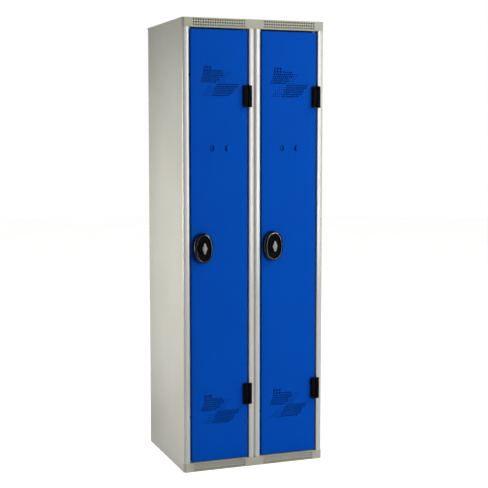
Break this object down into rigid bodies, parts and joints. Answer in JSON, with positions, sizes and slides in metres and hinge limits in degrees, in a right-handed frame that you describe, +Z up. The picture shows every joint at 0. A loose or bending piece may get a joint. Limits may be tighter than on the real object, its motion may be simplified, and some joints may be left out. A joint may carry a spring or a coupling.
{
  "type": "school locker",
  "caption": "Tall steel cloakroom locker in columns, each with an inset door, turn lock, hat shelf, hanging rail and sliding hooks.",
  "frame": {"origin": "middle of the footprint, on the floor", "axes": "+Z up, -Y out of the front through the doors, +X to the right of someone facing the doors"},
  "size_m": [0.6, 0.5268, 1.8],
  "materials": {
    "carcass_paint": "light grey powder coat, satin",
    "door_paint": "signal blue powder coat, satin",
    "black_plastic": "moulded black, glossy",
    "zinc_casting": "die-cast zinc, satin",
    "bright_steel": "bright zinc-plated steel",
    "moulded_nylon": "moulded black nylon, matt",
    "rubber": "black rubber, matt"
  },
  "bodies": {
    "carcass": {"side_panel_left": "carcass_paint", "side_panel_right": "carcass_paint", "centre_post": "carcass_paint", "centre_partition": "carcass_paint", "back_panel": "carcass_paint", "roof_panel": "carcass_paint", "floor_panel": "carcass_paint", "top_rail": "carcass_paint", "bottom_rail": "carcass_paint", "hat_shelf_left": "carcass_paint", "hat_shelf_right": "carcass_paint", "hanging_rail_left": "bright_steel", "rail_socket_left_left": "moulded_nylon", "rail_socket_left_right": "moulded_nylon", "door_bumper_left_upper": "rubber", "door_bumper_left_lower": "rubber", "hinge_frame_leaf_left_upper": "black_plastic", "hinge_pin_left_upper": "bright_steel", "hinge_frame_leaf_left_lower": "black_plastic", "hinge_pin_left_lower": "bright_steel", "hanging_rail_right": "bright_steel", "rail_socket_right_left": "moulded_nylon", "rail_socket_right_right": "moulded_nylon", "door_bumper_right_upper": "rubber", "door_bumper_right_lower": "rubber", "hinge_frame_leaf_right_upper": "black_plastic", "hinge_pin_right_upper": "bright_steel", "hinge_frame_leaf_right_lower": "black_plastic", "hinge_pin_right_lower": "bright_steel", "glide_front_left": "rubber", "glide_front_right": "rubber", "glide_rear_left": "rubber", "glide_rear_right": "rubber"},
    "left_door": {"door_left": "door_paint", "door_stiffener_left": "door_paint", "hinge_door_leaf_left_upper": "black_plastic", "hinge_door_leaf_left_lower": "black_plastic", "lock_housing_left": "black_plastic", "lock_nut_left": "zinc_casting"},
    "left_lock_turn": {"lock_rotor_left": "black_plastic", "lock_grip_left": "zinc_casting", "lock_cam_left": "zinc_casting", "cam_screw_left": "bright_steel"},
    "left_hook_1": {"coat_hook_left_1": "moulded_nylon"},
    "left_hook_2": {"coat_hook_left_2": "moulded_nylon"},
    "right_door": {"door_right": "door_paint", "door_stiffener_right": "door_paint", "hinge_door_leaf_right_upper": "black_plastic", "hinge_door_leaf_right_lower": "black_plastic", "lock_housing_right": "black_plastic", "lock_nut_right": "zinc_casting"},
    "right_lock_turn": {"lock_rotor_right": "black_plastic", "lock_grip_right": "zinc_casting", "lock_cam_right": "zinc_casting", "cam_screw_right": "bright_steel"},
    "right_hook_1": {"coat_hook_right_1": "moulded_nylon"},
    "right_hook_2": {"coat_hook_right_2": "moulded_nylon"}
  },
  "joints": [
    {"name": "left_door_hinge", "type": "hinge", "parent": "carcass", "child": "left_door", "pos_m": [-0.02525, -0.2404, 0.9], "axis": [0, 0, 1], "range_deg": [0, 110]},
    {"name": "left_lock_turn_joint", "type": "hinge", "parent": "left_door", "child": "left_lock_turn", "pos_m": [-0.2185, -0.2293, 0.899], "axis": [0, 1, 0], "range_deg": [0, 90]},
    {"name": "left_hook_1_slide", "type": "slide", "parent": "carcass", "child": "left_hook_1", "axis": [1, 0, 0], "range_m": [-0.054, 0.066]},
    {"name": "left_hook_2_slide", "type": "slide", "parent": "carcass", "child": "left_hook_2", "axis": [1, 0, 0], "range_m": [-0.066, 0.054]},
    {"name": "right_door_hinge", "type": "hinge", "parent": "carcass", "child": "right_door", "pos_m": [0.27175, -0.2404, 0.9], "axis": [0, 0, 1], "range_deg": [0, 110]},
    {"name": "right_lock_turn_joint", "type": "hinge", "parent": "right_door", "child": "right_lock_turn", "pos_m": [0.0785, -0.2293, 0.899], "axis": [0, 1, 0], "range_deg": [0, 90]},
    {"name": "right_hook_1_slide", "type": "slide", "parent": "carcass", "child": "right_hook_1", "axis": [1, 0, 0], "range_m": [-0.054, 0.066]},
    {"name": "right_hook_2_slide", "type": "slide", "parent": "carcass", "child": "right_hook_2", "axis": [1, 0, 0], "range_m": [-0.066, 0.054]}
  ]
}
